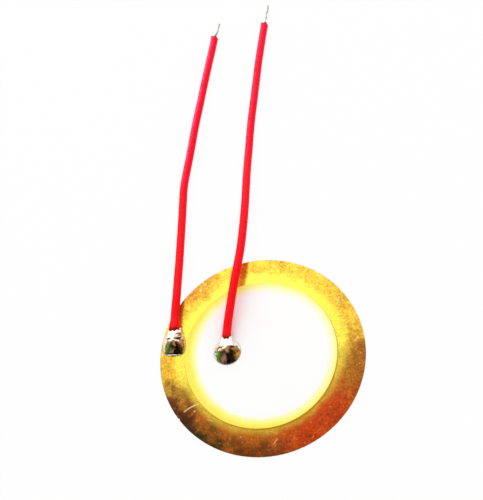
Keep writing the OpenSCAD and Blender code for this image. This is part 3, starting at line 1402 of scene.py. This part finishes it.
@dataclass(frozen=True)
class TentCloth(Finish):
    """Dark cloth with a wide oval opening towards the window, which bright metal reflects.

    Round the opening it is warm where the lamp grazes it, and then dark, mottled by what shines
    through: greenish towards -X and golden towards +X. A hand holds it at one side, and the
    light comes through warm at its top. Distances on it are chords of a sphere of radius 1.

    Attributes:
        opening: Where the middle of its opening is, as side and height in degrees.
        opening_reach: From there up to the opening's edge, in degrees.
        opening_width: How many times wider than high it is.
        opening_light: Strength of what shows in the opening.
        hand: Where the hand's middle is, as side and height in degrees.
    """

    opening: Pair = (18.0, 35.0)
    opening_reach: float = 35.0
    opening_width: float = 2.0
    opening_light: float = 1.15
    hand: Pair = (144.0, 41.0)

    def surface(self, add: Adder) -> Node:
        """Adds the cloth's nodes.

        Args:
            add: Adds a node to the material.

        Returns:
            The shader.
        """
        place = add("TexCoord").outputs["Object"]
        way = add("VectorMath", {"operation": "NORMALIZE"}, {0: place})
        side = add("SeparateXYZ", inputs={0: way}).outputs["X"]
        across = add("MapRange", inputs={"Value": side, 1: -1.0, 2: 1.0})
        dark = ((0.0, "#5c7a30"), (0.2, "#24320f"), (0.5, "#140f0b"), (0.8, "#24170f"))
        stops = (*dark, (1.0, "#a8823c"))
        colour = add("ValToRGB", inputs={0: across}, stops=stops)
        grain = {"Vector": way, "Scale": 9.0, "Detail": 3, "Roughness": 0.6}
        mottle = add("TexNoise", inputs=grain)
        share = add("MapRange", inputs={"Value": mottle, 1: 0.4, 2: 0.64, 3: 0.1, 4: 3.0})
        colour = add("VectorMath", SCALE, {0: colour, "Scale": share})
        for middle, full, none, over in (
            (tuple(direction(*self.hand)), 0.14, 0.42, "#a8746a"),
            (UP, 0.08, 0.4, "#c49e70"),
        ):
            apart = add("VectorMath", DISTANCE, {0: way, 1: middle})
            limits = {1: full, 2: none, 3: 1.0, 4: 0.0}
            cover = add("MapRange", SMOOTH, {"Value": apart, **limits})
            colour = add("Mix", RGBA, {0: cover, 6: colour, 7: over})
        edge = 2 * math.sin(math.radians(self.opening_reach / 2))
        narrow = Vector((1 / self.opening_width, 1, 1))
        squeezed = add("VectorMath", MULTIPLY, {0: way, 1: tuple(narrow)})
        middle = tuple(direction(*self.opening) * narrow)
        away = add("VectorMath", DISTANCE, {0: squeezed, 1: middle})
        grazed = add("MapRange", SMOOTH, {"Value": away, 1: edge + 0.03, 2: edge + 0.24})
        warm = add("Mix", RGBA, {0: grazed, 6: "#c08a62", 7: colour})
        covered = add("MapRange", inputs={"Value": away, 1: edge - 0.02, 2: edge + 0.02})
        glow = add("Emission", inputs={"Color": warm, "Strength": 1.0})
        light = {"Color": "#ffffff", "Strength": self.opening_light}
        white = add("Emission", inputs=light)
        return add("MixShader", inputs={0: covered, 1: white, 2: glow})


@dataclass(frozen=True)
class Studio:
    """A white table under a wide window light, in a dark tent that only mirror rays see.

    Attributes:
        far_side: Where the window hangs, in degrees from +Y towards -X.
        window_height: The window's middle over the table, in degrees.
        window_away: Its distance, in metres.
        window_size: Its width and height, in metres.
        window_power: Its power, in watts.
        fill: Strength of the even light from all round.
        tent_radius: The tent's radius, in metres.
        hem: How high over the table the tent ends, as a share of its radius. Under it the
            table's white goes on.
    """

    far_side: float = 20.0
    window_height: float = 42.0
    window_away: float = 0.45
    window_size: Pair = (0.6, 0.34)
    window_power: float = 0.6
    fill: float = 0.83
    tent_radius: float = 0.7
    hem: float = 0.1

    def table(self) -> None:
        """Lays the table top just under the part. It keeps the part's shadow."""
        bpy.ops.object.select_all(action="DESELECT")
        bpy.ops.mesh.primitive_plane_add(size=6, location=(0, 0, -0.02 * MM))
        table = bpy.context.active_object
        table.name = "table"
        settle(table)
        dress(table, WhiteTable("white_table").material())

    def world(self) -> None:
        """Sets an even fill light behind a white background."""
        world = bpy.data.worlds.new("studio")
        bpy.context.scene.world = world
        world.use_nodes = True
        world.node_tree.nodes.clear()
        add = partial(add_node, world.node_tree)
        fill = add("Background", inputs={"Color": "#ffffff", "Strength": self.fill})
        white = add("Background", inputs={"Color": "#ffffff", "Strength": 1.0})
        both = add("MixShader", inputs={0: shown_rays(add), 1: fill, 2: white})
        add("OutputWorld", inputs={"Surface": both})

    def window(self) -> None:
        """Hangs the window light beyond the leads' far ends."""
        data = bpy.data.lights.new("window", "AREA")
        data.shape = "RECTANGLE"
        data.size, data.size_y = self.window_size
        data.energy = self.window_power
        lamp = bpy.data.objects.new("window", data)
        bpy.context.scene.collection.objects.link(lamp)
        place = direction(self.far_side, self.window_height) * self.window_away
        lamp.location = place
        lamp.rotation_mode = "QUATERNION"
        lamp.rotation_quaternion = (-place).to_track_quat("-Z", "Y")

    def tent(self) -> None:
        """Puts up the tent, which only mirror rays see."""
        bpy.ops.object.select_all(action="DESELECT")
        bpy.ops.mesh.primitive_uv_sphere_add(segments=64, ring_count=32, radius=self.tent_radius)
        tent = bpy.context.active_object
        tent.name = "tent"
        with editing(tent):
            hem = (0, 0, self.hem * self.tent_radius)
            bpy.ops.mesh.bisect(plane_co=hem, plane_no=UP, clear_inner=True)
        dress(tent, TentCloth("tent_cloth").material())
        for rays in ("camera", "diffuse", "transmission", "volume_scatter", "shadow"):
            setattr(tent, f"visible_{rays}", False)

    def build(self) -> None:
        """Makes the studio."""
        bpy.context.scene.view_settings.view_transform = "Standard"
        self.table()
        self.world()
        self.window()
        self.tent()


# ---------------------------------------------------------------- the whole


RIM_LEAD_ROUTE = (
    (0.1, 1.9, 1), (0.12, 4.2, 1.45), (0.25, 6.5, 1.75), (0.3, 9, 1.6), (0.35, 11.5, 1.27),
    (0.35, 14, 0.87), (0.35, 16.5, 0.46), (0.35, 19, 0.14), (0.35, 21.5, 0), (0.4, 24, 0),
    (0.7, 26.5, 0), (1, 28.7, 0), (1.3, 31, 0), (1.6, 33.5, 0), (1.95, 36, 0),
    (2.35, 38.5, 0), (2.75, 41.2, 0), (3.15, 43.8, 0), (3.55, 46.3, 0), (3.95, 48.7, 0),
    (4.3, 51.05, 0),
)  # fmt: skip
RIM_LEAD_TIP = ((4.7, 52, 0), (4.85, 52.8, 0), (5, 53.7, 0))
CENTRE_LEAD_ROUTE = (
    (0, 1.9, 1), (0.15, 3.4, 1.25), (0.45, 5.2, 1.75), (0.8, 7.4, 2.18), (1.2, 9.9, 2.38),
    (1.6, 12.2, 2.38), (1.9, 14.4, 2.24), (2.1, 16.6, 2.03), (2.25, 19, 1.75),
    (2.35, 21.5, 1.34), (2.4, 24, 0.92), (2.45, 26.5, 0.51), (2.55, 29, 0.16),
    (2.7, 31.5, 0), (2.85, 34, 0), (3.05, 36.5, 0), (3.3, 39, 0), (3.55, 41.5, 0),
    (3.8, 44, 0), (4.05, 46.5, 0), (4.35, 49, 0), (4.7, 51.7, 0), (5.05, 54.25, 0),
)  # fmt: skip
CENTRE_LEAD_TIP = ((5.3, 55.6, 0), (5.35, 56.3, 0), (5.55, 57, 0), (5.6, 57.9, 0))

# Softened and pushed back by the iron, wide and torn at the rim, narrower at the centre
RIM_SCORCHED = SleeveEnd(
    swell=0.42,
    swell_length=1.8 * MM,
    teeth=(0.1, 0.35, 0.05, 0.3, 0.1, 0.4, 0.15, -0.1, 0, 0.1, 0.05, 0),
    scorch=0.55,
    scorch_length=0.3 * MM,
)
CENTRE_SCORCHED = SleeveEnd(
    swell=0.06,
    swell_length=0.8 * MM,
    teeth=(0.2, 0.05, 0.4, 0.2, 0.45, 0.1, 0.3, 0, 0, 0.1, 0, 0.1),
    scorch=0.75,
    scorch_length=0.45 * MM,
)
# Nipped from both sides and torn off: two horns with a notch between them, one side lower
STRIPPED = SleeveEnd(
    swell=0.03,
    swell_length=0.8 * MM,
    teeth=(0.2, 0.15, -0.3, -0.15, 0.05, -0.3, -0.35, 0, 0, 0, 0, 0),
    scorch=0.45,
    scorch_length=0.3 * MM,
)


def main() -> None:
    """Builds the camera, the leads, the disc and the studio in order."""
    logging.basicConfig(level=logging.INFO, format="%(name)s: %(message)s")
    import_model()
    Camera().build()
    pvc = ExtrudedPvc("extruded_red_pvc").material()
    copper = TinnedCopper("tinned_copper_wire").material()
    solder = BrightSolder("bright_tin_lead_solder").material()
    silver = SilverPrint("screen_printed_silver").material()
    rim = Joint("rim_solder", "brass_plate", stretch=0.6 * MM)
    centre = Joint("centre_solder", "upper_electrode", stretch=0.0)
    routes = RIM_LEAD_ROUTE, RIM_LEAD_TIP
    # The last argument is the strength of the painted sheen, a painted highlight on the -X side
    rim_lead = Lead("rim_lead", rim, *routes, RIM_SCORCHED, STRIPPED, bloom=0.9)
    routes = CENTRE_LEAD_ROUTE, CENTRE_LEAD_TIP
    centre_lead = Lead("centre_lead", centre, *routes, CENTRE_SCORCHED, STRIPPED, bloom=0.35)
    for lead, squareness, lean, neck_radius, flux in (
        (rim_lead, 0.62, 14.0, 0.33 * MM, 0.3),
        (centre_lead, 0.1, 12.0, 0.27 * MM, 0.4),
    ):
        lead.build(pvc, copper)
        sleeve_start = lead.points(lead.route)[0]
        SolderBead(lead.joint, sleeve_start, squareness, lean, neck_radius, flux).build(solder)
    for node, material in (
        ("brass_plate", RolledBrass("rolled_brass_sheet").material()),
        ("ceramic_disc", FiredCeramic("fired_lead_zirconate_titanate").material()),
        ("upper_electrode", silver),
        ("lower_electrode", silver),
        ("bond_layer", CuredEpoxy("cured_epoxy").material()),
    ):
        dress(bpy.data.objects[node], material)
    Studio().build()


if __name__ == "__main__":
    main()
